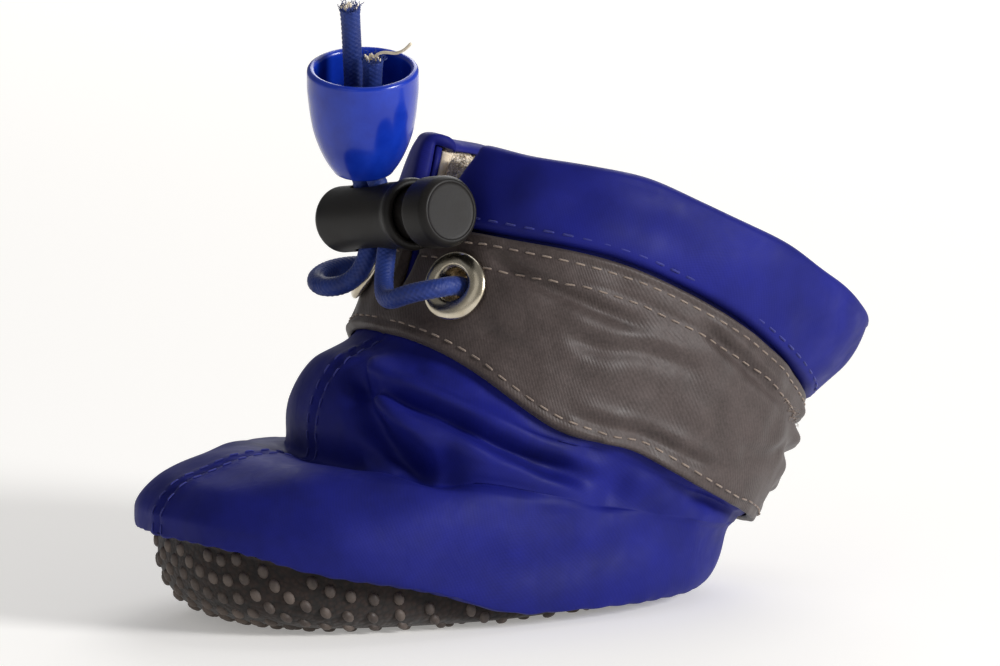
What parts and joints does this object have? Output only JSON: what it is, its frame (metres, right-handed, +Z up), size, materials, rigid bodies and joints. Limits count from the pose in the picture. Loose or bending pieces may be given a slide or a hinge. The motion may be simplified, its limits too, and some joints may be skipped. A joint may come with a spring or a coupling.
{
  "type": "dog shoe",
  "caption": "Soft dog boot: fleece-lined fabric upper, cupped gripping sole, reflective band, slit collar and a drawcord with cord lock and bell-shaped end.",
  "frame": {"origin": "middle of the shoe's outline, on the plane that its sole stands on", "axes": "toe towards -X, heel and open collar towards +X, +Z up, either side of the shoe alike towards -Y and +Y"},
  "size_m": [0.105, 0.0508, 0.0807],
  "materials": {
    "sole_fabric": "matt fabric with rubber dots",
    "fleece": "curly pile",
    "blue_nylon": "woven, slight sheen",
    "reflective_fabric": "coated, slight sheen",
    "nickel": "polished",
    "black_plastic": "satin",
    "blue_plastic": "gloss",
    "blue_cord": "braided"
  },
  "bodies": {
    "shoe": {"outsole": "sole_fabric", "insole": "fleece", "upper": "blue_nylon", "tongue": "fleece", "reflective_band": "reflective_fabric", "cuff": "blue_nylon", "eyelet_near": "nickel", "eyelet_far": "nickel", "lock_barrel": "black_plastic", "cord_bell": "blue_plastic", "cord_near": "blue_cord", "cord_far": "blue_cord"},
    "plunger": {"lock_plunger": "black_plastic"}
  },
  "joints": [
    {"name": "plunger_press", "type": "slide", "parent": "shoe", "child": "plunger", "axis": [-0.139, 0.9799, -0.143], "range_m": [0, 0.0025], "stiffness_N_per_m": 400, "springref_m": -0.001}
  ]
}
